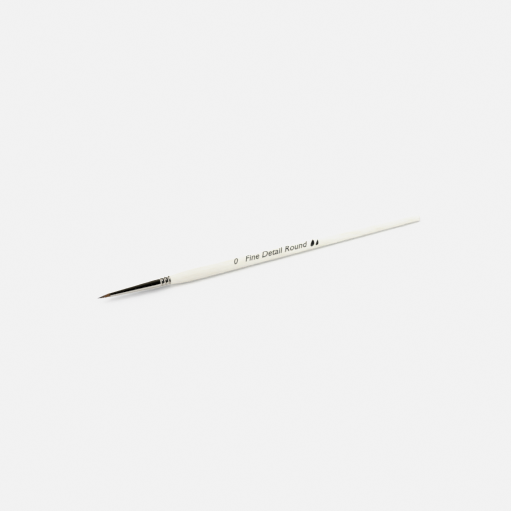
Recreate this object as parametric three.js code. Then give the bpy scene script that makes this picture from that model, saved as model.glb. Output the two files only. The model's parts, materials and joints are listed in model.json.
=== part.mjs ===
// A size 0 round detail brush, lying on its side as it would on a table. Millimetres, +Z up.
// Every piece is turned about the brush's own axis. Places along that axis are counted from the
// tip of the hair, which points to -X, back to the butt of the handle, which points to +X.
// The origin is on the table under the middle of the brush.

import * as THREE from "three";

// Lengths along the axis
const brushLength = 178;
const hairOut = 7.05;
const ferruleLength = 32.25;
const ferruleTailLength = 8.5; // straight stretch that grips the tenon
const bellyBehindFerrule = 12.2;
const bellyCrown = 16; // rounded stretch from the widest place back to the straight taper
const tenonLength = 14;
const hairInside = 8.7;

// Radii
const mouthRadius = 1.15; // outside of the ferrule at the hair
const tailRadius = 2.33; // outside of the ferrule at the handle
const shoulderRadius = 2.43;
const bellyRadius = 3.27;
const buttRadius = 1.85;
const hairBellyRadius = 0.74;

// Ferrule sheet, its rolled crimps and the clearance between neighbours
const ferruleWall = 0.28;
const crimpCount = 3;
const crimpPitch = 2;
const crimpWidth = 1.4;
const crimpDepth = 0.2;
const lastCrimpFromEnd = 0.8;
const fitGap = 0.02;
const glueFilm = 0.1;

// Handle turning
const frontEdgeRound = 0.14;
const buttEdgeRound = 0.6;
const tenonChamfer = 0.4;
const frontSteps = 6;
const crownSteps = 4;

// Hair: the part outside bends about a pivot just in front of the ferrule
const pivotFromMouth = 0.9;
const hairFullness = 0.618; // how far past its widest place the bundle narrows again, in half turns
const hairPointing = 1.4; // more than 1 draws the tip out to a needle point
const hairBallRadius = 0.69;
const socketRadius = 0.72;
const socketLip = 0.4; // from the pivot back to the rim of the socket
const hairSteps = 12;

// Binding thread round the root of the hair, and the resin that sets both
const threadTurns = 3;
const threadRadius = 0.08;
const threadFromRootEnd = 1.6;
const waistRadius = 0.68;
const resinFront = 4.2; // behind the mouth
const resinBehindRoot = 2.6;

// The turned surfaces have flat sides. Half a side of turn puts one of them underneath.
const sides = 24;
const halfSide = Math.PI / sides;

const mouth = hairOut;
const ferruleEnd = mouth + ferruleLength;
const tailStart = ferruleEnd - ferruleTailLength;
const belly = ferruleEnd + bellyBehindFerrule;
const taperSlope = (bellyRadius - buttRadius) / (brushLength - belly - bellyCrown / 2);
const pivot = mouth - pivotFromMouth;
const rootEnd = mouth + hairInside;
const rootRadius = mouthRadius - ferruleWall - fitGap;
const threadMiddle = rootEnd - threadFromRootEnd;
const threadHalfWidth = threadTurns * threadRadius;

const crimps = Array.from(
  { length: crimpCount },
  (_, index) => ferruleEnd - lastCrimpFromEnd - (crimpCount - 1 - index) * crimpPitch,
);

// How deep the crimps press the ferrule in at a place along it: each is one smooth valley.
function crimpDip(at) {
  let dip = 0;
  for (const crimp of crimps) {
    const reach = Math.abs(at - crimp) / (crimpWidth / 2);
    if (reach < 1) {
      dip += (crimpDepth * (1 + Math.cos(Math.PI * reach))) / 2;
    }
  }
  return dip;
}

function ferruleOutside(at) {
  const along = THREE.MathUtils.clamp((at - mouth) / (tailStart - mouth), 0, 1);
  return THREE.MathUtils.lerp(mouthRadius, tailRadius, along) - crimpDip(at);
}

function ferruleBore(at) {
  return ferruleOutside(at) - ferruleWall;
}

function glueOutside(at) {
  return ferruleBore(at) - fitGap;
}

function tenonRadius(at) {
  return glueOutside(at) - glueFilm - fitGap;
}

// The places where the ferrule's outline bends, between two ends.
function ferrulePlaces(from, to) {
  const bends = [tailStart];
  for (const crimp of crimps) {
    for (const step of [-1, -0.5, 0, 0.5, 1]) {
      bends.push(crimp + (step * crimpWidth) / 2);
    }
  }
  return [from, ...bends.filter((at) => at > from && at < to), to];
}

// Rises like a sine to the belly, rounds over the crown and runs straight to the butt.
function handleRadius(at) {
  const behind = at - belly;
  if (behind < 0) {
    const rise = Math.sin((Math.PI / 2) * (1 + behind / bellyBehindFerrule));
    return THREE.MathUtils.lerp(shoulderRadius, bellyRadius, rise);
  }
  if (behind < bellyCrown) {
    return bellyRadius - (taperSlope * behind ** 2) / (2 * bellyCrown);
  }
  return bellyRadius - taperSlope * (behind - bellyCrown / 2);
}

function evenPlaces(from, to, steps) {
  return Array.from({ length: steps + 1 }, (_, step) => from + ((to - from) * step) / steps);
}

// Points [place along the axis, radius] on an arc; angle 0 is outward from the axis and
// a quarter turn is towards the butt.
function arc(at, radius, size, fromAngle, toAngle, steps) {
  return evenPlaces(fromAngle, toAngle, steps).map((angle) => [
    at + size * Math.sin(angle),
    radius + size * Math.cos(angle),
  ]);
}

function outline(places, radiusAt) {
  return places.map((at) => [at, radiusAt(at)]);
}

function turned(name, profile, material) {
  const points = profile.map(([at, radius]) => new THREE.Vector2(radius, at));
  const mesh = new THREE.Mesh(new THREE.LatheGeometry(points, sides, halfSide), material);
  mesh.name = name;
  return mesh;
}

function lacqueredWood() {
  return new THREE.MeshStandardMaterial({ color: 0xf1eee0, roughness: 0.18, metalness: 0 });
}

function nickelPlate() {
  return new THREE.MeshStandardMaterial({ color: 0xc9c8c4, roughness: 0.14, metalness: 1 });
}

function sableHair() {
  return new THREE.MeshStandardMaterial({ color: 0x7a4f26, roughness: 0.55, metalness: 0 });
}

function bindingCotton() {
  return new THREE.MeshStandardMaterial({ color: 0xd8d2bf, roughness: 0.9, metalness: 0 });
}

function settingResin() {
  return new THREE.MeshStandardMaterial({ color: 0xc98f3a, roughness: 0.3, metalness: 0 });
}

function woodGlue() {
  return new THREE.MeshStandardMaterial({ color: 0xe6dcc0, roughness: 0.5, metalness: 0 });
}

// A turned wooden handle: a tenon dented by the crimps, a shoulder, a belly, a long taper and a
// small flat butt.
function handle() {
  const tenonFront = ferruleEnd - tenonLength;
  const front = ferruleEnd + fitGap;
  const edgeCentre = shoulderRadius - frontEdgeRound;
  const bellyFront = evenPlaces(front + frontEdgeRound, belly, frontSteps).slice(1);
  const crown = evenPlaces(belly, belly + bellyCrown, crownSteps).slice(1);
  const edgeRadius = handleRadius(brushLength - buttEdgeRound);
  return turned(
    "handle",
    [
      [tenonFront, 0],
      [tenonFront, tenonRadius(tenonFront) - tenonChamfer],
      ...outline(ferrulePlaces(tenonFront + tenonChamfer, front), tenonRadius),
      ...arc(front + frontEdgeRound, edgeCentre, frontEdgeRound, -Math.PI / 2, 0, 2),
      ...outline(bellyFront, handleRadius),
      ...outline(crown, handleRadius),
      ...arc(brushLength - buttEdgeRound, edgeRadius - buttEdgeRound, buttEdgeRound, 0, Math.PI / 2, 4),
      [brushLength, 0],
    ],
    lacqueredWood(),
  );
}

// A seamless tapered tube: its wall is the same all along, so the crimps show inside as well.
function ferrule() {
  const places = ferrulePlaces(mouth, ferruleEnd);
  const outside = outline(places, ferruleOutside);
  const inside = outline(places, ferruleBore).reverse();
  return turned("ferrule", [...outside, ...inside, outside[0]], nickelPlate());
}

// A glue sleeve in the joint between the tenon and the ferrule.
function tenonGlue() {
  const front = ferruleEnd - tenonLength + 2 * tenonChamfer;
  const places = ferrulePlaces(front, ferruleEnd - fitGap);
  const outside = outline(places, glueOutside);
  const inside = outline(places, (at) => glueOutside(at) - glueFilm).reverse();
  return turned("tenon_glue", [...outside, ...inside, outside[0]], woodGlue());
}

// The hair held by the ferrule, tied in at a waist. Its front is a socket that the bending hair
// turns in.
function hairRoot() {
  const rimAngle = Math.acos(Math.sqrt(socketRadius ** 2 - socketLip ** 2) / socketRadius);
  const waistFront = threadMiddle - 2 * threadHalfWidth;
  const waistBack = threadMiddle + 2 * threadHalfWidth;
  return turned(
    "hair_root",
    [
      ...arc(pivot, 0, socketRadius, Math.PI / 2, rimAngle, 6),
      [pivot + socketLip, rootRadius],
      [waistFront, rootRadius],
      [threadMiddle - threadHalfWidth, waistRadius],
      [threadMiddle + threadHalfWidth, waistRadius],
      [waistBack, rootRadius],
      [rootEnd, rootRadius],
      [rootEnd, 0],
    ],
    sableHair(),
  );
}

// The hair that shows: a needle point, a full belly and a ball that turns in the root's socket.
function hairTuft() {
  const tuftRadius = (at) =>
    hairBellyRadius * Math.sin(hairFullness * Math.PI * (at / pivot) ** hairPointing);
  const hair = evenPlaces(0, pivot, hairSteps).slice(1, -1);
  return turned(
    "hair_tuft",
    [
      [0, 0],
      ...outline(hair, tuftRadius),
      ...arc(pivot, 0, hairBallRadius, 0, Math.PI / 2, 8),
    ],
    sableHair(),
  );
}

// Turns of thread lying side by side round the waist of the root, each one a round bead.
function bindingThread() {
  const bore = waistRadius + fitGap;
  const beads = [];
  for (let turn = 0; turn < threadTurns; turn += 1) {
    const middle = threadMiddle - threadHalfWidth + (2 * turn + 1) * threadRadius;
    const bead = arc(middle, bore + threadRadius, threadRadius, -Math.PI / 2, Math.PI / 2, 4);
    beads.push(...bead.slice(turn === 0 ? 0 : 1));
  }
  const front = threadMiddle - threadHalfWidth;
  const back = threadMiddle + threadHalfWidth;
  return turned("binding_thread", [...beads, [back, bore], [front, bore], beads[0]], bindingCotton());
}

// Cured resin that fills the ferrule round and behind the root, with room for the thread.
function resinPlug() {
  const front = mouth + resinFront;
  const back = rootEnd + resinBehindRoot;
  const bore = rootRadius + fitGap;
  const overThread = waistRadius + 2 * threadRadius + 2 * fitGap;
  const threadFront = threadMiddle - threadHalfWidth - fitGap;
  const threadBack = threadMiddle + threadHalfWidth + fitGap;
  return turned(
    "resin_plug",
    [
      [rootEnd + fitGap, 0],
      [rootEnd + fitGap, bore],
      [threadBack, bore],
      [threadBack, overThread],
      [threadFront, overThread],
      [threadFront, bore],
      [front, bore],
      [front, glueOutside(front)],
      [back, glueOutside(back)],
      [back, 0],
    ],
    settingResin(),
  );
}

// Laying the brush down: turned from standing along Y to lying along X, tipped until the flat side
// under the taper is level with the table, then moved over the origin.
const turnedPieces = new THREE.Group();
turnedPieces.add(
  handle(),
  ferrule(),
  tenonGlue(),
  hairRoot(),
  hairTuft(),
  bindingThread(),
  resinPlug(),
);
turnedPieces.rotation.z = -Math.PI / 2;

const lying = new THREE.Group();
lying.add(turnedPieces);
lying.rotation.y = Math.atan(taperSlope * Math.cos(halfSide));

const brush = new THREE.Group();
brush.name = "fine_detail_brush";
brush.add(lying);
const box = new THREE.Box3().setFromObject(brush, true);
const middle = box.getCenter(new THREE.Vector3());
lying.position.set(-middle.x, -middle.y, -box.min.z);

export default brush;
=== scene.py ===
"""The looks of the fine detail brush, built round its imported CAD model.

Shapes are worked out in millimetres on the brush's own axes and then placed in the frame, in metres.
On those axes x runs from the tip of the hair to the butt, y is level across the brush, and z is square
to both, so that it is nearly upright.
"""

import json
import math
import random

import bmesh
import bpy
import numpy as np
from mathutils import Matrix, Vector


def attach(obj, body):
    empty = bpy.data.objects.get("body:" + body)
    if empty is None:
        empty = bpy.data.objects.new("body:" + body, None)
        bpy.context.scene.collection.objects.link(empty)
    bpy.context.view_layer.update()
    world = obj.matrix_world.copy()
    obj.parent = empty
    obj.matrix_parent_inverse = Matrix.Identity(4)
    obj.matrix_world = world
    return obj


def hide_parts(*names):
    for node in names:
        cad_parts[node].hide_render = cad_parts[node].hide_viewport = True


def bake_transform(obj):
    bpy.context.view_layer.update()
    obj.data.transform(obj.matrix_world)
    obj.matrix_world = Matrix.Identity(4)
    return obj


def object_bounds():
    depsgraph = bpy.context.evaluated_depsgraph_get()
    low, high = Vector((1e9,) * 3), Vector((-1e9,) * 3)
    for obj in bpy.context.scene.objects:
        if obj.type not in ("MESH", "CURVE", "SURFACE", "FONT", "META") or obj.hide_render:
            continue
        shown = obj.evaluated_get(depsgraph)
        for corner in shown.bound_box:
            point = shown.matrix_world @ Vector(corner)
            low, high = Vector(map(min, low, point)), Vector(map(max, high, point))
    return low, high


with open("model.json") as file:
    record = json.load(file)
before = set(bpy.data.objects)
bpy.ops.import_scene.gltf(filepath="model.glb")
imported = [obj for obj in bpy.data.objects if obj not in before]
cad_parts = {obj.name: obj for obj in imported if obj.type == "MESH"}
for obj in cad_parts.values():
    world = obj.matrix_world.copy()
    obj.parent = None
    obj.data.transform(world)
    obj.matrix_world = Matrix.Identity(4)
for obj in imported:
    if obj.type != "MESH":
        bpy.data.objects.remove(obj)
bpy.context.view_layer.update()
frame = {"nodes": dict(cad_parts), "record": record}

MM = 0.001
PLACE = "brush_mm"  # the attribute that holds each point's place on the brush's own axes

# Camera: where it stands round the brush and what it aims at, in degrees and metres
CAMERA_AZIMUTH = -23.0
CAMERA_ELEVATION = 38
CAMERA_DISTANCE = 1.5266
CAMERA_AIM = Vector((-0.00047, 0.00548, 0))
CAMERA_LENS = 211.35
CAMERA_CLIP = (0.05, 50)

# Turned surfaces, in millimetres
CAD_DIGITS = 2  # decimals kept of each place that is read from CAD
ROUND_SIDES = 128
ROOT_SIDES = 192
HANDLE_STEP = 0.6
FERRULE_STEP = 0.1
SHEET_EDGE = 0.045  # how round the ferrule's cut edges are
CUT_BRASS = (0.02, 0.16)  # behind the mouth, over which the brass of the cut gives way to nickel
FRONT_EDGE = 0.14  # how round the lacquer's edge is at the ferrule
BUTT_EDGE = 0.6
BUTT_DOME = 0.12

# Lacquer, in millimetres
LACQUER_WOBBLE = 0.008
WOBBLE_WAVES = [(1, 0.11, 2, 0), (0.6, 0.23, -1, 1)]  # share, radians per mm, waves round, phase
STEADY_FRONT, STEADY_BUTT = 1, 2  # no wobble this close to the ferrule and to the butt
PALING = (50, 120)  # where the belly's tint starts to turn into the tail's, and where it has
BUTT_GREYING = (0.9, 0.1)  # in front of the butt's end, where the greyer colour starts and where it is full

# Hair, in millimetres
HAIR_COUNT = 270
HAIR_SIDES = 5
HAIR_STEPS = 22
HAIR_RADIUS = 0.052
HAIR_POINT = 0.004  # a hair's radius at its tip
HAIR_SLIM, HAIR_FULL = 0.82, 0.18  # the share of its radius that a hair has all along, and adds midway
HAIR_INSIDE = 2.2  # how far each hair goes on inside the ferrule's mouth
HAIR_FREE = 2.4  # in front of the mouth, from where the bundle follows CAD's outline to the tip
HAIR_DROOP = 0.34  # how far the tip has sunk from the axis
TIP_START = 0.02  # nearer to the very tip the bundle grows no thinner
BUNDLE_FILL = 0.86  # where the outermost hairs lie, as a share of the bundle's radius
TIP_SCATTER = 0.4  # how unevenly the hairs end

# The course of each hair round the axis, in radians: the hairs swing apart on the way to the tip by
# up to this, and wave by this much at this rate, each hair shifted from the others
HAIR_SWING = 0.5
HAIR_WAVE, HAIR_WAVE_RATE, HAIR_WAVE_SHIFT = 0.12, 5, 6

# Stray hairs: their ends and how far they lift, in millimetres
STRAY_COUNT = 7
STRAY_FILL = 0.97
STRAY_RADIUS = 0.039
STRAY_ENDS = (0.9, 2.6)
STRAY_LIFTS = (0.12, 0.4)

# Ridges on the root of the hair: their height in millimetres and the two waves that make them
RIDGE_HEIGHT = 0.018
RIDGE_WAVES = (41, 23)

# Thread round the root of the hair
THREAD_STEP = 0.12  # radians of its winding
THREAD_SIDES = 8
THREAD_TWIST = 9  # turns of the two plies for each turn round the root

# Print on the handle, in millimetres: places are measured from the end of the ferrule
PRINT_TURN = 60  # degrees above level, on the side that faces the camera
NUMBER_AT, NUMBER_SIZE = 33.8, 4.4
WORDS_AT, WORDS_SIZE = 40.1, 4.5
DROP_AT, DROP_SIZE = 77, 4.3
DROPS = [(1, 0), (0.72, 0.62)]  # each drop's height and place, as shares of DROP_SIZE
DROP_WIDTH = 0.36
DROP_SIDES = 40
LETTER_SLANT = 0.45
LETTER_SPACING = 1.03
LETTER_STEPS = 5  # points on each curved stretch of a letter
INK_SPREAD = 0.07  # how far the ink runs past the drawn edge of a letter
INK_PROUD = 0.012
INK_SUNK = 0.006
INK_STEP = 0.2  # the height of the strips that follow the curve of the handle
WELD = 1e-4  # points of a letter that are closer than this are one

# Floor, in metres
FLOOR_REACH = 12
FLOOR_GAP = 0.00001  # under the lowest point of the brush

# Light of the studio. A place in it is a direction from the brush, of length 1: x is to the right, y is
# behind the brush and z is up. A change of light has the places where it starts and ends, and then the
# light at each of the two.
BACKDROP_LIGHT = 1.25
ROOM_LIGHT = 0.72
ROOM_BY_HEIGHT = (-0.5, -0.12, 0.3, 1)
ROOM_BY_DEPTH = (-0.8, 0.6, 0.02, 1.45)
SUN_LIGHT = 2.55
SUN_WIDTH, SUN_TURN, SUN_HEIGHT = 86, -20, 63  # degrees

# What gloss mirrors of the studio: a bright table, bright windows and dark parts
MIRRORED_BY_DEPTH = (-0.1, 0.6, 1.35, 2.2)
MIRRORED_HORIZON = (-0.12, 0.02)
TABLE_MIRRORED = [(0.3, (0.46, 0.45, 0.43, 1)), (0.75, (0.86, 0.84, 0.8, 1))]  # from below to level
DARK_SIDE_TILT = 66  # degrees that the middle of the dark side is raised from straight in front
DARK_SIDE_EDGE = (0.17, 0.3)  # nearness to that middle where the dark starts and where it is full
DARK_SIDE_MIDDLE = 0.3
DARK_SIDE_REACH = (0.38, 0.5)  # how far from that middle, to each side, the dark starts to end and ends
DARK_CORNERS = [(-0.7, 0.65, 0.3), (-0.75, -0.6, 0.15)]
DARK_CORNER_EDGE = (0.6, 0.7)
DARK_BY_DEPTH = (-0.6, 0.6)  # where the dark turns from its shade in front to its shade behind

# How light is shown on screen
EXPOSURE_CURVE = [(0, 0), (0.4, 0.43), (0.75, 0.74), (0.95, 0.86), (1.05, 0.88), (1.25, 0.887), (3, 1)]


# ---------------------------------------------------------------- the frame, read in millimetres


def brush_axes():
    """The matrix from the brush's own axes, in millimetres, to the frame."""
    mounts = {mount["name"]: mount for mount in frame["record"]["mounts"]}
    butt = Vector(mounts["butt_end"]["pos_m"])
    along = Vector(mounts["butt_end"]["axis"]).normalized()
    across = Vector((0, 1, 0))
    up = along.cross(across)
    tip = min((vertex.co for vertex in frame["nodes"]["hair_tuft"].data.vertices), key=along.dot)
    length = (butt - tip).dot(along)
    turn = Matrix((along, across, up)).transposed().to_4x4()
    return Matrix.Translation(butt - along * length) @ turn @ Matrix.Scale(MM, 4)


TO_FRAME = brush_axes()
FROM_FRAME = TO_FRAME.inverted()


def cad_profile(node):
    """A turned CAD node's (along, radius) corners in millimetres, each once."""
    corners = set()
    for vertex in frame["nodes"][node].data.vertices:
        place = FROM_FRAME @ vertex.co
        radius = math.hypot(place.y, place.z)
        corners.add((round(place.x, CAD_DIGITS), round(radius, CAD_DIGITS)))
    return sorted(corners)


def outer_profile(node):
    """The outside of a turned CAD node: the largest radius at each place along it."""
    radii = {}
    for along, radius in cad_profile(node):
        radii[along] = max(radius, radii.get(along, 0))
    return sorted(radii.items())


def inner_profile(node):
    """The bore of a tube: the smallest radius at each place along it."""
    radii = {}
    for along, radius in cad_profile(node):
        radii[along] = min(radius, radii.get(along, radius))
    return sorted(radii.items())


def smooth_curve(points):
    """A function through the points: a cubic that keeps long straight stretches straight."""
    xs, ys = (np.array(values, float) for values in zip(*points))
    steps = np.diff(xs)
    slopes = np.diff(ys) / steps
    tangents = np.zeros_like(ys)
    tangents[0], tangents[-1] = slopes[0], slopes[-1]
    for i in range(1, len(xs) - 1):
        if slopes[i - 1] * slopes[i] >= 0:
            before, after = steps[i - 1] ** 2, steps[i] ** 2
            tangents[i] = (before * slopes[i - 1] + after * slopes[i]) / (before + after)

    def value(x):
        i = np.clip(np.searchsorted(xs, x) - 1, 0, len(steps) - 1)
        t = np.clip((x - xs[i]) / steps[i], 0, 1)
        rest = 1 - t
        ends = ys[i] * rest**2 * (1 + 2 * t) + ys[i + 1] * t**2 * (3 - 2 * t)
        bends = steps[i] * t * rest * (tangents[i] * rest - tangents[i + 1] * t)
        return ends + bends

    return value


def even_places(start, end, step):
    """Places from start to end, both included, as near to this step apart as fits."""
    count = max(1, round(abs(end - start) / step))
    return [start + (end - start) * i / count for i in range(count + 1)]


def arc(along, radius, size, start, end, steps=5):
    """Corners on an arc: 0 degrees is outward from the axis and 90 is towards the butt."""
    angles = [math.radians(start + (end - start) * i / steps) for i in range(steps + 1)]
    return [(along + size * math.sin(a), radius + size * math.cos(a)) for a in angles]


# ---------------------------------------------------------------- meshes


def new_piece(name, vertices, faces, looks, sharp=40):
    """A smooth-shaded mesh from points on the brush's own axes, in millimetres."""
    mesh = bpy.data.meshes.new(name)
    mesh.from_pydata([TO_FRAME @ Vector(v) for v in vertices], [], faces)
    mesh.update()
    for look in looks:
        mesh.materials.append(look)
    mesh.shade_smooth()
    mesh.set_sharp_from_angle(angle=math.radians(sharp))
    places = mesh.attributes.new(PLACE, "FLOAT_VECTOR", "POINT")
    places.data.foreach_set("vector", np.array(vertices, np.float32).ravel())
    piece = bpy.data.objects.new(name, mesh)
    bpy.context.scene.collection.objects.link(piece)
    return piece


def turned(name, outline, looks, closed=False, wobble=None, sides=ROUND_SIDES):
    """A turned piece. The outline runs from axis to axis, or closes on itself.
    wobble(along, turn) moves the surface in or out by that much."""
    vertices, rings = [], []
    for along, radius in outline:
        if radius == 0:
            rings.append([len(vertices)] * sides)
            vertices.append((along, 0, 0))
            continue
        rings.append(list(range(len(vertices), len(vertices) + sides)))
        for side in range(sides):
            turn = 2 * math.pi * side / sides
            out = radius + (wobble(along, turn) if wobble else 0)
            vertices.append((along, out * math.cos(turn), out * math.sin(turn)))
    faces = []
    pairs = list(zip(rings, rings[1:]))
    if closed:
        pairs.append((rings[-1], rings[0]))
    for ring, after in pairs:
        for side in range(sides):
            beside = (side + 1) % sides
            corners = (ring[side], after[side], after[beside], ring[beside])
            faces.append(tuple(dict.fromkeys(corners)))
    return new_piece(name, vertices, faces, looks)


def add_tube(vertices, faces, rings):
    """Adds a tube with closed ends, through these rings of points, to a mesh's lists."""
    base, sides = len(vertices), len(rings[0])
    numbers = []
    for ring in rings:
        numbers.append(range(base + sides * len(numbers), base + sides * len(numbers) + sides))
        vertices.extend(ring)
    for ring, after in zip(numbers, numbers[1:]):
        for side in range(sides):
            beside = (side + 1) % sides
            faces.append((ring[side], ring[beside], after[beside], after[side]))
    faces.append(tuple(reversed(numbers[0])))
    faces.append(tuple(numbers[-1]))


def add_values(piece, key, values):
    """One number for each point of a piece, under a name that its look reads."""
    attribute = piece.data.attributes.new(key, "FLOAT", "POINT")
    attribute.data.foreach_set("value", np.array(values, np.float32))


# ---------------------------------------------------------------- node helpers for the looks


def new_look(name):
    """A new material with its nodes and its shader."""
    look = bpy.data.materials.new(name)
    look.use_nodes = True
    return look, look.node_tree, look.node_tree.nodes["Principled BSDF"]


def add(tree, kind, inputs=(), **settings):
    """A node with its settings and inputs; an input is a value or another node's output."""
    node = tree.nodes.new(kind)
    for key, value in settings.items():
        setattr(node, key, value)
    for socket, value in dict(inputs).items():
        if isinstance(value, bpy.types.NodeSocket):
            tree.links.new(value, node.inputs[socket])
        else:
            node.inputs[socket].default_value = value
    return node


def math_node(tree, operation, first, second=0.0):
    return add(tree, "ShaderNodeMath", {0: first, 1: second}, operation=operation).outputs[0]


def distance_from(tree, value, place):
    """How far the value is from a place, on either side of it."""
    return math_node(tree, "ABSOLUTE", math_node(tree, "SUBTRACT", value, place))


def brush_place(tree, stretch=(1, 1, 1)):
    """The point's place on the brush in millimetres, with each axis multiplied."""
    place = add(tree, "ShaderNodeAttribute", attribute_name=PLACE).outputs["Vector"]
    inputs = {0: place, 1: stretch}
    return add(tree, "ShaderNodeVectorMath", inputs, operation="MULTIPLY").outputs[0]


def noise(tree, vector, scale, detail=3, roughness=0.5):
    """Soft noise round 0.5, with this many lumps to one unit of the vector."""
    inputs = {"Vector": vector, "Scale": scale, "Detail": detail, "Roughness": roughness}
    return add(tree, "ShaderNodeTexNoise", inputs).outputs["Fac"]


def spread(tree, value, low, high, to_low=0.0, to_high=1.0, smooth=True):
    """The value's stretch from low to high carried over to another, and held beyond it."""
    inputs = {0: value, 1: low, 2: high, 3: to_low, 4: to_high}
    kind = "SMOOTHSTEP" if smooth else "LINEAR"
    return add(tree, "ShaderNodeMapRange", inputs, interpolation_type=kind).outputs[0]


def blended(tree, factor, first, second, how="MIX"):
    """Two colours mixed by a factor, each a colour or an output."""
    mix = add(tree, "ShaderNodeMix", {0: factor}, data_type="RGBA", blend_type=how)
    for socket, value in ((mix.inputs[6], first), (mix.inputs[7], second)):
        if isinstance(value, bpy.types.NodeSocket):
            tree.links.new(value, socket)
        else:
            socket.default_value = value
    return mix.outputs[2]


def ramp(tree, factor, stops):
    """A colour ramp with (place, colour) stops."""
    node = add(tree, "ShaderNodeValToRGB", {"Fac": factor})
    elements = node.color_ramp.elements
    while len(elements) < len(stops):
        elements.new(0.5)
    for element, (place, tint) in zip(elements, stops):
        element.position = place
        element.color = tint
    return node.outputs["Color"]


def bump(tree, height, strength, distance):
    """Bump from a height, with distance in millimetres."""
    inputs = {"Height": height, "Strength": strength, "Distance": distance * MM}
    return add(tree, "ShaderNodeBump", inputs).outputs["Normal"]


def along_of(tree):
    """The point's place along the brush, in millimetres from the tip."""
    place = brush_place(tree)
    return add(tree, "ShaderNodeSeparateXYZ", {0: place}).outputs["X"]


def colour(red, green, blue):
    """A colour given as it shows on screen, 0 to 255, as the linear values that nodes take."""
    values = [value / 255 for value in (red, green, blue)]
    linear = [v / 12.92 if v <= 0.04045 else ((v + 0.055) / 1.055) ** 2.4 for v in values]
    return (*linear, 1)


# ---------------------------------------------------------------- looks
#
# A look stretches noise along the brush and blends a colour in where the noise lies between two levels.
# Noise scales are per millimetre, and the depths of bumps are in millimetres.


def lacquer_look(butt_at):
    """Thick gloss off-white lacquer over turned wood. The grain shows as the faintest streaks, a few
    specks of dust are caught in it, and the end of the butt is a little greyer."""
    look, tree, shader = new_look("off_white_lacquer")
    along = along_of(tree)
    streaks = noise(tree, brush_place(tree, (0.05, 1, 1)), 2.4, detail=4)
    grained = spread(tree, streaks, 0.35, 0.7)
    belly = blended(tree, grained, colour(236, 233, 221), colour(231, 227, 213))
    tail = blended(tree, grained, colour(251, 250, 238), colour(248, 246, 232))
    cream = blended(tree, spread(tree, along, *PALING, smooth=False), belly, tail)
    clouds = noise(tree, brush_place(tree, (0.25, 1, 1)), 0.35, detail=2)
    warm = blended(tree, spread(tree, clouds, 0.4, 0.75, 0, 0.35), cream, colour(232, 225, 200))
    specks = noise(tree, brush_place(tree), 6.5, detail=1)
    dust = spread(tree, specks, 0.79, 0.83, 0, 0.25)
    dusty = blended(tree, dust, warm, colour(178, 168, 146))
    # Towards the end of the butt the colour turns greyer
    grey_start, grey_full = (butt_at - before for before in BUTT_GREYING)
    greyed = spread(tree, along, grey_start, grey_full, 0, 0.55)
    final = blended(tree, greyed, dusty, colour(204, 201, 190))
    tree.links.new(final, shader.inputs["Base Color"])
    handling = noise(tree, brush_place(tree, (0.3, 1, 1)), 1.6, detail=5)
    tree.links.new(spread(tree, handling, 0.35, 0.7, 0.16, 0.25), shader.inputs["Roughness"])
    ripple = noise(tree, brush_place(tree, (0.35, 1, 1)), 1.1, detail=2)
    grain = noise(tree, brush_place(tree, (0.06, 1, 1)), 5, detail=3)
    height = math_node(tree, "ADD", ripple, math_node(tree, "MULTIPLY", grain, 0.25))
    tree.links.new(bump(tree, height, 0.35, 0.05), shader.inputs["Normal"])
    shader.inputs["Coat Weight"].default_value = 0.7
    shader.inputs["Coat Roughness"].default_value = 0.04
    shader.inputs["Subsurface Weight"].default_value = 0.06
    shader.inputs["Subsurface Radius"].default_value = (0.001, 0.0008, 0.0005)
    return look


def birch_look():
    """Bare turned birch, for the tenon inside the ferrule."""
    look, tree, shader = new_look("bare_birch")
    rings = noise(tree, brush_place(tree, (0.08, 1, 1)), 3.5, detail=5)
    pores = noise(tree, brush_place(tree, (0.15, 1, 1)), 14, detail=2)
    wood = blended(tree, spread(tree, rings, 0.3, 0.7), colour(222, 190, 142), colour(196, 156, 106))
    pored = blended(tree, spread(tree, pores, 0.62, 0.72, 0, 0.5), wood, colour(140, 100, 62))
    tree.links.new(pored, shader.inputs["Base Color"])
    tree.links.new(spread(tree, pores, 0.3, 0.8, 0.55, 0.8), shader.inputs["Roughness"])
    tree.links.new(bump(tree, pores, 0.5, 0.03), shader.inputs["Normal"])
    return look


def nickel_look(mouth_at, crimp_places, crimp_reach):
    """Polished nickel plate on drawn brass, with draw lines and smudges. It is tarnished in the crimps,
    and the brass shows at the cut mouth."""
    look, tree, shader = new_look("nickel_plate")
    along = along_of(tree)
    lines = noise(tree, brush_place(tree, (0.04, 1, 1)), 16, detail=4, roughness=0.6)
    smudges = noise(tree, brush_place(tree, (0.4, 1, 1)), 0.9, detail=4)
    drawn = spread(tree, lines, 0.3, 0.75)
    plate = blended(tree, drawn, colour(226, 224, 219), colour(206, 203, 196))
    stained = blended(tree, spread(tree, smudges, 0.5, 0.8, 0, 0.3), plate, colour(196, 188, 172))
    valley = 0.0
    for place in crimp_places:
        off = distance_from(tree, along, place)
        near = spread(tree, off, crimp_reach * 0.15, crimp_reach, 1, 0)
        valley = math_node(tree, "ADD", near, valley)
    greyed = math_node(tree, "MULTIPLY", valley, spread(tree, smudges, 0.3, 0.6, 0.25, 0.6))
    tarnished = blended(tree, greyed, stained, colour(158, 146, 124))
    brass_end, nickel_start = (mouth_at + behind for behind in CUT_BRASS)
    rim = spread(tree, along, brass_end, nickel_start, 0.85, 0)
    final = blended(tree, rim, tarnished, colour(202, 170, 112))
    tree.links.new(final, shader.inputs["Base Color"])
    polish = spread(tree, smudges, 0.35, 0.75, 0.05, 0.13)
    fine = spread(tree, lines, 0.3, 0.8, 0, 0.06)
    dull = math_node(tree, "MULTIPLY", greyed, 0.12)
    rough = math_node(tree, "ADD", math_node(tree, "ADD", polish, fine), dull)
    tree.links.new(rough, shader.inputs["Roughness"])
    tree.links.new(bump(tree, lines, 0.12, 0.012), shader.inputs["Normal"])
    shader.inputs["Metallic"].default_value = 1
    return look


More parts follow.
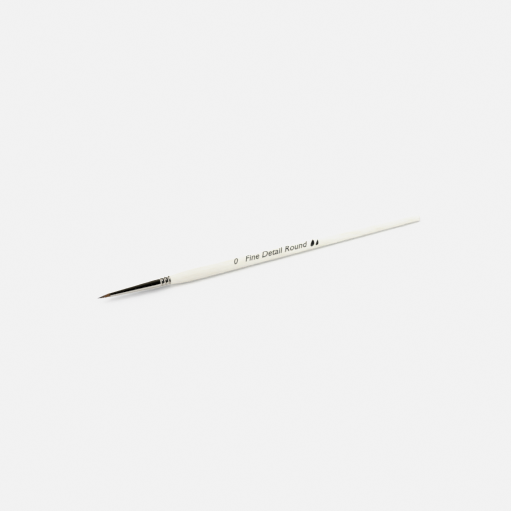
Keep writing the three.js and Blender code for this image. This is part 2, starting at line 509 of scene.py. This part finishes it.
def hair_look():
    """Soft sable: red-brown at the root, orange-brown along the belly, nearly black at the tip."""
    look, tree, shader = new_look("sable_hair")
    along = add(tree, "ShaderNodeAttribute", attribute_name="hair_along").outputs["Fac"]
    tone = add(tree, "ShaderNodeAttribute", attribute_name="hair_tone").outputs["Fac"]
    drift = spread(tree, tone, 0, 1, -0.08, 0.08, smooth=False)
    stops = [
        (0.0, colour(104, 68, 46)),
        (0.12, colour(132, 88, 26)),
        (0.32, colour(130, 87, 22)),
        (0.44, colour(88, 63, 32)),
        (0.54, colour(54, 45, 39)),
        (1.0, colour(34, 33, 34)),
    ]
    body = ramp(tree, math_node(tree, "ADD", along, drift), stops)
    dark = blended(tree, 1.0, body, colour(150, 138, 124), how="MULTIPLY")
    light = blended(tree, 0.3, body, colour(150, 106, 48))
    shade = blended(tree, spread(tree, tone, 0.15, 0.85), dark, light)
    scales = noise(tree, brush_place(tree, (3, 1, 1)), 7, detail=2)
    final = blended(tree, spread(tree, scales, 0.35, 0.75, 0, 0.3), shade, colour(66, 46, 28))
    tree.links.new(final, shader.inputs["Base Color"])
    tree.links.new(spread(tree, scales, 0.3, 0.8, 0.3, 0.48), shader.inputs["Roughness"])
    shader.inputs["Specular IOR Level"].default_value = 0.45
    shader.inputs["Sheen Weight"].default_value = 0.15
    return look


def ink_look():
    """Matt near-black printing ink with thin spots."""
    look, tree, shader = new_look("printing_ink")
    thin = noise(tree, brush_place(tree), 5, detail=4, roughness=0.65)
    greyed = spread(tree, thin, 0.5, 0.8, 0, 0.5)
    final = blended(tree, greyed, colour(12, 12, 13), colour(56, 54, 51))
    tree.links.new(final, shader.inputs["Base Color"])
    tree.links.new(spread(tree, thin, 0.3, 0.8, 0.35, 0.6), shader.inputs["Roughness"])
    return look


def fibre_look():
    """Waxed cotton thread."""
    look, tree, shader = new_look("waxed_thread")
    fibres = noise(tree, brush_place(tree, (6, 1, 1)), 9, detail=3)
    shaded = spread(tree, fibres, 0.35, 0.7)
    final = blended(tree, shaded, colour(224, 214, 188), colour(184, 168, 134))
    tree.links.new(final, shader.inputs["Base Color"])
    tree.links.new(spread(tree, fibres, 0.3, 0.8, 0.6, 0.85), shader.inputs["Roughness"])
    tree.links.new(bump(tree, fibres, 0.6, 0.02), shader.inputs["Normal"])
    return look


def cured_look(name, clear, cloudy, scale):
    """Cured resin or glue: clear and cloudy patches, at a scale per millimetre. A CAD node has no place
    on the brush's axes to read, so this one reads its own, in metres."""
    look, tree, shader = new_look(name)
    place = add(tree, "ShaderNodeTexCoord").outputs["Object"]
    patches = noise(tree, place, scale / MM, detail=3)
    final = blended(tree, spread(tree, patches, 0.35, 0.7), clear, cloudy)
    tree.links.new(final, shader.inputs["Base Color"])
    tree.links.new(spread(tree, patches, 0.3, 0.8, 0.18, 0.4), shader.inputs["Roughness"])
    tree.links.new(bump(tree, patches, 0.3, 0.05), shader.inputs["Normal"])
    return look


# ---------------------------------------------------------------- the handle and its print

handle_outer = outer_profile("handle")
ferrule_outer = outer_profile("ferrule")
ferrule_inner = inner_profile("ferrule")
tuft_outer = outer_profile("hair_tuft")
root_outer = outer_profile("hair_root")
mouth = ferrule_outer[0][0]
ferrule_end = ferrule_outer[-1][0]
butt_end = handle_outer[-1][0]


def lacquer_curve():
    """The handle's radius at each place between its two rounded edges."""
    slack = 10**-CAD_DIGITS
    front = ferrule_end + FRONT_EDGE - slack
    back = butt_end - BUTT_EDGE + slack
    return smooth_curve([corner for corner in handle_outer if front < corner[0] < back])


handle_radius = lacquer_curve()


def handle_outline():
    """The CAD outline made fine: tenon, rounded lacquer edge, belly and taper, domed butt."""
    tenon = [corner for corner in handle_outer if corner[0] <= ferrule_end]
    tenon_fine = smooth_curve(tenon)
    front = ferrule_end + FRONT_EDGE
    back = butt_end - BUTT_EDGE
    flat = float(handle_radius(back)) - BUTT_EDGE + BUTT_DOME
    return [
        (tenon[0][0], 0),
        *[(x, float(tenon_fine(x))) for x in even_places(tenon[0][0], ferrule_end, FERRULE_STEP)],
        *arc(front, float(handle_radius(front)) - FRONT_EDGE, FRONT_EDGE, -90, 0),
        *[(x, float(handle_radius(x))) for x in even_places(front, back, HANDLE_STEP)[1:-1]],
        *arc(back, flat, BUTT_EDGE - BUTT_DOME, 0, 90, steps=8),
        *[(butt_end - BUTT_DOME * share**2, flat * share) for share in (0.75, 0.5, 0.25, 0)],
    ]


def lacquer_wobble(along, turn):
    """Dipped lacquer is never quite round: about a hundredth of a millimetre, slow along the handle."""
    if along < ferrule_end + STEADY_FRONT or along > butt_end - STEADY_BUTT:
        return 0
    waves = (
        share * math.sin(along * rate + count * turn + phase)
        for share, rate, count, phase in WOBBLE_WAVES
    )
    return LACQUER_WOBBLE * sum(waves)


def make_handle():
    """The handle: lacquered, apart from the bare wood of its tenon."""
    looks = [lacquer_look(butt_end), birch_look()]
    wood_slot = 1
    piece = turned("lacquered_handle", handle_outline(), looks, wobble=lacquer_wobble)
    for face in piece.data.polygons:
        ends = [(FROM_FRAME @ piece.data.vertices[i].co).x for i in face.vertices]
        if max(ends) < ferrule_end:
            face.material_index = wood_slot
    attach(piece, "brush")
    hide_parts("handle")


def crimp_middles():
    """Where the ferrule's outline dips lowest between higher neighbours."""
    corners = ferrule_outer
    return [
        corners[i][0]
        for i in range(1, len(corners) - 1)
        if corners[i - 1][1] > corners[i][1] < corners[i + 1][1]
    ]


def make_ferrule():
    """The ferrule: a tube of sheet metal with rolled edges, through the outlines of its CAD node."""
    places = even_places(mouth, ferrule_end, FERRULE_STEP)
    outside = smooth_curve(ferrule_outer)
    inside = smooth_curve(ferrule_inner)
    lip = SHEET_EDGE
    outer = [(x, float(outside(x))) for x in places if mouth + lip < x < ferrule_end - lip]
    inner = [(x, float(inside(x))) for x in places if mouth + lip < x < ferrule_end - lip]
    outline = [
        *arc(mouth + lip, ferrule_outer[0][1] - lip, lip, -90, 0),
        *outer,
        *arc(ferrule_end - lip, ferrule_outer[-1][1] - lip, lip, 0, 90),
        *arc(ferrule_end - lip, ferrule_inner[-1][1] + lip, lip, 90, 180),
        *reversed(inner),
        *arc(mouth + lip, ferrule_inner[0][1] + lip, lip, 180, 270),
    ]
    middles = crimp_middles()
    reach = 0.5 * (middles[1] - middles[0])
    look = nickel_look(mouth, middles, reach)
    piece = turned("nickel_ferrule", outline, [look], closed=True)
    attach(piece, "brush")
    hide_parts("ferrule")


def flat_text(body, size):
    """The filled outline of slanted text as a flat mesh, in millimetres from where the line starts."""
    curve = bpy.data.curves.new("print_text", "FONT")
    curve.body = body
    curve.size = size
    curve.shear = LETTER_SLANT
    curve.offset = INK_SPREAD
    curve.space_character = LETTER_SPACING
    curve.resolution_u = LETTER_STEPS
    holder = bpy.data.objects.new("print_text", curve)
    bpy.context.scene.collection.objects.link(holder)
    shapes = bpy.context.evaluated_depsgraph_get()
    flat = bmesh.new()
    flat.from_mesh(bpy.data.meshes.new_from_object(holder.evaluated_get(shapes)))
    bpy.data.objects.remove(holder)
    return flat


def flat_drops(size):
    """Plain drops of paint that stand on a line and slant as the letters do, as a flat mesh."""
    flat = bmesh.new()
    for scale, away in DROPS:
        rim = []
        for step in range(DROP_SIDES):
            turn = 2 * math.pi * step / DROP_SIDES
            wide = DROP_WIDTH * math.sin(turn) * math.sin(turn / 2) ** 1.5
            high = 0.5 * (1 + math.cos(turn))
            x = size * (away + scale * (wide + LETTER_SLANT * high))
            rim.append(flat.verts.new((x, size * scale * high, 0)))
        flat.faces.new(rim)
    return flat


def print_on_handle(name, flat, start, look):
    """Cuts a flat mark into strips, gives it an ink film's thickness and wraps it on the handle,
    starting this far behind the ferrule."""
    bmesh.ops.remove_doubles(flat, verts=flat.verts, dist=WELD)
    heights = [vertex.co.y for vertex in flat.verts]
    lowest, middle = min(heights), (min(heights) + max(heights)) / 2
    for level in np.arange(lowest + INK_STEP, max(heights), INK_STEP):
        everything = flat.verts[:] + flat.edges[:] + flat.faces[:]
        bmesh.ops.bisect_plane(flat, geom=everything, plane_co=(0, level, 0), plane_no=(0, 1, 0))
    bmesh.ops.triangulate(flat, faces=flat.faces)
    for vertex in flat.verts:
        vertex.co.z = -INK_SUNK
    film = bmesh.ops.extrude_face_region(flat, geom=flat.faces[:])["geom"]
    for item in film:
        if isinstance(item, bmesh.types.BMVert):
            item.co.z = INK_PROUD
    bmesh.ops.recalc_face_normals(flat, faces=flat.faces)
    vertices = []
    for vertex in flat.verts:
        along = ferrule_end + start + vertex.co.x
        radius = float(handle_radius(along))
        turn = math.pi - math.radians(PRINT_TURN) - (vertex.co.y - middle) / radius
        radius += lacquer_wobble(along, turn) + vertex.co.z
        vertices.append((along, radius * math.cos(turn), radius * math.sin(turn)))
    flat.verts.index_update()
    # The extrusion gives the same faces in another order each time, so they are sorted
    faces = sorted([vertex.index for vertex in face.verts] for face in flat.faces)
    piece = new_piece(name, vertices, faces, [look], sharp=30)
    flat.free()
    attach(piece, "brush")


def make_print():
    """The size number, generic words and drops, as thin ink on the side that faces the camera."""
    look = ink_look()
    print_on_handle("size_number_print", flat_text("0", NUMBER_SIZE), NUMBER_AT, look)
    print_on_handle("words_print", flat_text("Fine Detail Round", WORDS_SIZE), WORDS_AT, look)
    print_on_handle("drop_print", flat_drops(DROP_SIZE), DROP_AT, look)


# ---------------------------------------------------------------- the hair


def hair_envelope():
    """The bundle's radius at each place along it, from inside the mouth to the tip."""
    root_radius = max(radius for _, radius in root_outer)
    free = [corner for corner in tuft_outer if corner[0] < mouth - HAIR_FREE]
    held = [(mouth, root_radius), (mouth + HAIR_INSIDE + 1, root_radius)]
    return smooth_curve([*free, *held])


def hair_radius(share, radius):
    """A hair's radius at this share of its length: fullest near its middle, and drawn to a point."""
    taper = min(1.0, (1 - share) * 1.9) ** 0.7
    belly = HAIR_SLIM + HAIR_FULL * math.sin(math.pi * min(1, share * 1.3))
    return max(HAIR_POINT, radius * taper * belly)


def hair_rings(envelope, start, radius):
    """One hair as rings of points, and for each ring how far it is on the way from mouth to tip."""
    fill, turn, end, lift, tone = start
    first = mouth + HAIR_INSIDE
    rings, outs = [], []
    for step in range(HAIR_STEPS + 1):
        share = step / HAIR_STEPS
        x = first + (end - first) * share
        out = max(0.0, (mouth - x) / mouth)
        reach = float(envelope(max(x, TIP_START))) * fill + lift * out**2
        swing = HAIR_SWING * (tone - 0.5) * out
        angle = turn + swing + HAIR_WAVE * math.sin(HAIR_WAVE_RATE * out + HAIR_WAVE_SHIFT * tone)
        y = reach * math.cos(angle)
        z = reach * math.sin(angle) - HAIR_DROOP * out**0.6
        size = hair_radius(share, radius)
        arounds = [2 * math.pi * side / HAIR_SIDES + turn for side in range(HAIR_SIDES)]
        rings.append([(x, y + size * math.cos(a), z + size * math.sin(a)) for a in arounds])
        outs.append(out)
    return rings, outs


def hairs(name, starts, look, radius):
    """Tapered hairs in one mesh. Each hair has a start: its share of the bundle's radius, its turn
    round the axis, the place along the brush where it ends, its lift off the bundle and its tone."""
    envelope = hair_envelope()
    vertices, faces, along_values, tones = [], [], [], []
    for start in starts:
        rings, outs = hair_rings(envelope, start, radius)
        add_tube(vertices, faces, rings)
        for out in outs:
            along_values.extend([out] * HAIR_SIDES)
            tones.extend([start[-1]] * HAIR_SIDES)
    piece = new_piece(name, vertices, faces, [look], sharp=80)
    add_values(piece, "hair_along", along_values)
    add_values(piece, "hair_tone", tones)
    return piece


def bend_hair(piece):
    """Bakes the hair's place in the frame into its mesh."""
    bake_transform(piece)


def make_hair():
    """The bundle, laid out like the seeds of a sunflower, and a few hairs that stand off it. It returns
    the look of the hair, for the root."""
    rng = random.Random(11)
    look = hair_look()
    golden = math.pi * (3 - math.sqrt(5))
    bundle = []
    for i in range(HAIR_COUNT):
        fill = BUNDLE_FILL * math.sqrt((i + 0.5) / HAIR_COUNT)
        end = abs(rng.gauss(0, TIP_SCATTER)) * (0.3 + fill)
        bundle.append((fill, i * golden, end, 0, rng.random()))
    piece = hairs("hair_bundle", bundle, look, HAIR_RADIUS)
    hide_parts("hair_tuft")
    bend_hair(piece)
    strays = []
    for _ in range(STRAY_COUNT):
        turn = rng.uniform(0, 2 * math.pi)
        end = rng.uniform(*STRAY_ENDS)
        lift = rng.uniform(*STRAY_LIFTS)
        strays.append((STRAY_FILL, turn, end, lift, rng.random()))
    bend_hair(hairs("stray_hairs", strays, look, STRAY_RADIUS))
    return look


def root_ridges(along, turn):
    """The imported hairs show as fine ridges, the same all along the root."""
    fine, coarse = RIDGE_WAVES
    return RIDGE_HEIGHT * math.sin(fine * turn) * math.sin(coarse * turn + 1)


def make_root(look):
    """The root of the bundle inside the ferrule, with the dent that the thread ties into it."""
    front = mouth + HAIR_INSIDE / 2
    body = [corner for corner in root_outer if corner[0] > front]
    curve = smooth_curve([(front, body[0][1]), *body])
    places = even_places(front, body[-1][0], FERRULE_STEP)
    outline = [(front, 0), *[(x, float(curve(x))) for x in places], (body[-1][0], 0)]
    piece = turned("hair_root_bundle", outline, [look], wobble=root_ridges, sides=ROOT_SIDES)
    count = len(piece.data.vertices)
    add_values(piece, "hair_along", [0.0] * count)
    add_values(piece, "hair_tone", [0.5] * count)
    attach(piece, "brush")
    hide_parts("hair_root")


# ---------------------------------------------------------------- inside the ferrule


def make_thread():
    """Two-ply thread wound round the root as a helix, where CAD has closed rings. Each ply is half as
    thick as the thread, and the two twist round the thread's middle."""
    corners = cad_profile("binding_thread")
    front, back = corners[0][0], corners[-1][0]
    bore = min(radius for _, radius in corners)
    thick = (max(radius for _, radius in corners) - bore) / 2
    last_turn = 2 * math.pi * ((back - front) / (2 * thick) - 1)
    vertices, faces = [], []
    for ply in (0, math.pi):
        rings = []
        for turn in even_places(0, last_turn, THREAD_STEP):
            twist = THREAD_TWIST * turn + ply
            along = front + thick * (1 + turn / math.pi + 0.5 * math.sin(twist))
            radius = bore + thick * (1 + 0.5 * math.cos(twist))
            ring = []
            for side in range(THREAD_SIDES):
                around = 2 * math.pi * side / THREAD_SIDES
                out = radius + 0.5 * thick * math.cos(around)
                place = along + 0.5 * thick * math.sin(around)
                ring.append((place, out * math.cos(turn), out * math.sin(turn)))
            rings.append(ring)
        add_tube(vertices, faces, rings)
    piece = new_piece("wound_thread", vertices, faces, [fibre_look()], sharp=60)
    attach(piece, "brush")
    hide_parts("binding_thread")


def finish_inner_pieces():
    """Resin and glue keep their CAD shapes, which are those of the gaps they fill."""
    amber = colour(214, 152, 62), colour(176, 112, 40)
    cream = colour(236, 226, 196), colour(212, 196, 156)
    looks = {
        "resin_plug": cured_look("amber_resin", *amber, 0.8),
        "tenon_glue": cured_look("cured_wood_glue", *cream, 1.2),
    }
    for node, look in looks.items():
        piece = frame["nodes"][node]
        if not piece.material_slots:
            piece.data.materials.append(look)
        piece.material_slots[0].link = "OBJECT"
        piece.material_slots[0].material = look


# ---------------------------------------------------------------- floor, light and camera


def make_floor():
    """The pale table, just under the lowest point. Gloss mirrors the world's table in its place."""
    look, tree, shader = new_look("pale_floor")
    place = add(tree, "ShaderNodeTexCoord").outputs["Object"]
    patches = noise(tree, place, 3, detail=2)
    final = blended(tree, patches, colour(243, 243, 243), colour(241, 241, 241))
    tree.links.new(final, shader.inputs["Base Color"])
    shader.inputs["Roughness"].default_value = 0.9
    shader.inputs["Specular IOR Level"].default_value = 0.1
    mesh = bpy.data.meshes.new("floor")
    low = min(0.0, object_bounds()[0].z) - FLOOR_GAP
    signs = [(-1, -1), (1, -1), (1, 1), (-1, 1)]
    corners = [(FLOOR_REACH * x, FLOOR_REACH * y, low) for x, y in signs]
    mesh.from_pydata(corners, [], [(0, 1, 2, 3)])
    mesh.materials.append(look)
    floor = bpy.data.objects.new("floor", mesh)
    floor.visible_glossy = False
    bpy.context.scene.collection.objects.link(floor)


def nearness(tree, way, place):
    """How near a ray's way is to a place in the studio: 1 at the place, 0 square to it."""
    inputs = {0: way, 1: place}
    return add(tree, "ShaderNodeVectorMath", inputs, operation="DOT_PRODUCT").outputs["Value"]


def dark_parts(tree, way, across):
    """Where the mirrored studio is dark: a wide side above and in front of the brush, which gives the
    ferrule its dark band, and two corners on the tip's side, which do the same from other views."""
    tilt = math.radians(DARK_SIDE_TILT)
    facing = nearness(tree, way, (0, -math.cos(tilt), math.sin(tilt)))
    beside = distance_from(tree, across, DARK_SIDE_MIDDLE)
    edge = spread(tree, facing, *DARK_SIDE_EDGE)
    width = spread(tree, beside, *DARK_SIDE_REACH, 1, 0)
    dark = math_node(tree, "MULTIPLY", edge, width)
    for corner in DARK_CORNERS:
        near = spread(tree, nearness(tree, way, corner), *DARK_CORNER_EDGE)
        dark = math_node(tree, "MAXIMUM", dark, near)
    return dark


def mirrored_studio(tree, way, parts):
    """What gloss mirrors: a bright table, brighter windows behind the brush and the dark parts."""
    across, behind, height = parts
    table = ramp(tree, spread(tree, height, -1, 0, smooth=False), TABLE_MIRRORED)
    bright = blended(tree, spread(tree, height, *MIRRORED_HORIZON), table, colour(255, 255, 255))
    dim = blended(tree, spread(tree, behind, *DARK_BY_DEPTH), colour(1, 1, 0), colour(66, 62, 52))
    shown = blended(tree, dark_parts(tree, way, across), bright, dim)
    window = spread(tree, behind, *MIRRORED_BY_DEPTH)
    return add(tree, "ShaderNodeBackground", {"Color": shown, "Strength": window}).outputs[0]


def room_light(tree, parts, to_camera):
    """How strongly the room lights the brush from each side, and one even level for the backdrop."""
    _, behind, height = parts
    by_height = spread(tree, height, *ROOM_BY_HEIGHT)
    by_depth = spread(tree, behind, *ROOM_BY_DEPTH)
    shape = math_node(tree, "MULTIPLY", by_height, by_depth)
    room = math_node(tree, "MULTIPLY", shape, ROOM_LIGHT)
    return add(tree, "ShaderNodeMix", {0: to_camera, 2: room, 3: BACKDROP_LIGHT}).outputs[0]


def make_world():
    """The studio round the table. Rays mirrored in gloss before any soft bounce see the mirrored
    studio, all other light comes from a plain pale room, and the camera sees an even backdrop."""
    world = bpy.data.worlds.new("studio")
    bpy.context.scene.world = world
    world.use_nodes = True
    tree = world.node_tree
    way = add(tree, "ShaderNodeTexCoord").outputs["Generated"]
    parts = add(tree, "ShaderNodeSeparateXYZ", {0: way}).outputs
    path = add(tree, "ShaderNodeLightPath").outputs
    plain = tree.nodes["Background"]
    plain.inputs["Color"].default_value = colour(250, 250, 251)
    tree.links.new(room_light(tree, parts, path["Is Camera Ray"]), plain.inputs["Strength"])
    first_sight = math_node(tree, "LESS_THAN", path["Diffuse Depth"], 0.5)
    mirrored = math_node(tree, "MULTIPLY", path["Is Glossy Ray"], first_sight)
    inputs = {0: mirrored, 1: plain.outputs[0], 2: mirrored_studio(tree, way, parts)}
    either = add(tree, "ShaderNodeMixShader", inputs)
    tree.links.new(either.outputs[0], tree.nodes["World Output"].inputs["Surface"])


def direction(turn, height):
    """The way from the brush that is turned and raised by these degrees, where 0, 0 is its front."""
    a, e = math.radians(turn), math.radians(height)
    return Vector((math.sin(a) * math.cos(e), -math.cos(a) * math.cos(e), math.sin(e)))


def make_sun():
    """Soft light from above and in front, a little to the left, as of a large soft box far away."""
    light = bpy.data.lights.new("soft_box_above", "SUN")
    light.energy = SUN_LIGHT
    light.angle = math.radians(SUN_WIDTH)
    lamp = bpy.data.objects.new("soft_box_above", light)
    lamp.rotation_mode = "QUATERNION"
    lamp.rotation_quaternion = direction(SUN_TURN, SUN_HEIGHT).to_track_quat("Z", "Y")
    lamp.visible_glossy = False
    bpy.context.scene.collection.objects.link(lamp)


def make_camera():
    """The camera, in front of the brush and above it. Its depth of field stays off."""
    lens = bpy.data.cameras.new("camera")
    lens.lens = CAMERA_LENS
    lens.clip_start, lens.clip_end = CAMERA_CLIP
    camera = bpy.data.objects.new("camera", lens)
    back = direction(CAMERA_AZIMUTH, CAMERA_ELEVATION)
    camera.location = CAMERA_AIM + back * CAMERA_DISTANCE
    camera.rotation_mode = "QUATERNION"
    camera.rotation_quaternion = back.to_track_quat("Z", "Y")
    bpy.context.scene.collection.objects.link(camera)
    bpy.context.scene.camera = camera


def expose():
    """Bright exposure with a soft shoulder, as a camera gives a white table. The curve's fourth channel
    is the one for all colours, and its points are given as light and how bright it shows."""
    view = bpy.context.scene.view_settings
    view.view_transform = "Standard"
    view.use_curve_mapping = True
    mapping = view.curve_mapping
    brightest = EXPOSURE_CURVE[-1][0]
    mapping.white_level = (brightest, brightest, brightest)
    points = mapping.curves[3].points
    while len(points) < len(EXPOSURE_CURVE):
        points.new(0.5, 0.5)
    for point, (light, shown) in zip(points, EXPOSURE_CURVE):
        point.location = (light / brightest, shown)
        point.handle_type = "AUTO_CLAMPED"
    mapping.update()


make_handle()
make_ferrule()
make_print()
hair = make_hair()
make_root(hair)
make_thread()
finish_inner_pieces()
make_floor()
make_world()
make_sun()
make_camera()
expose()
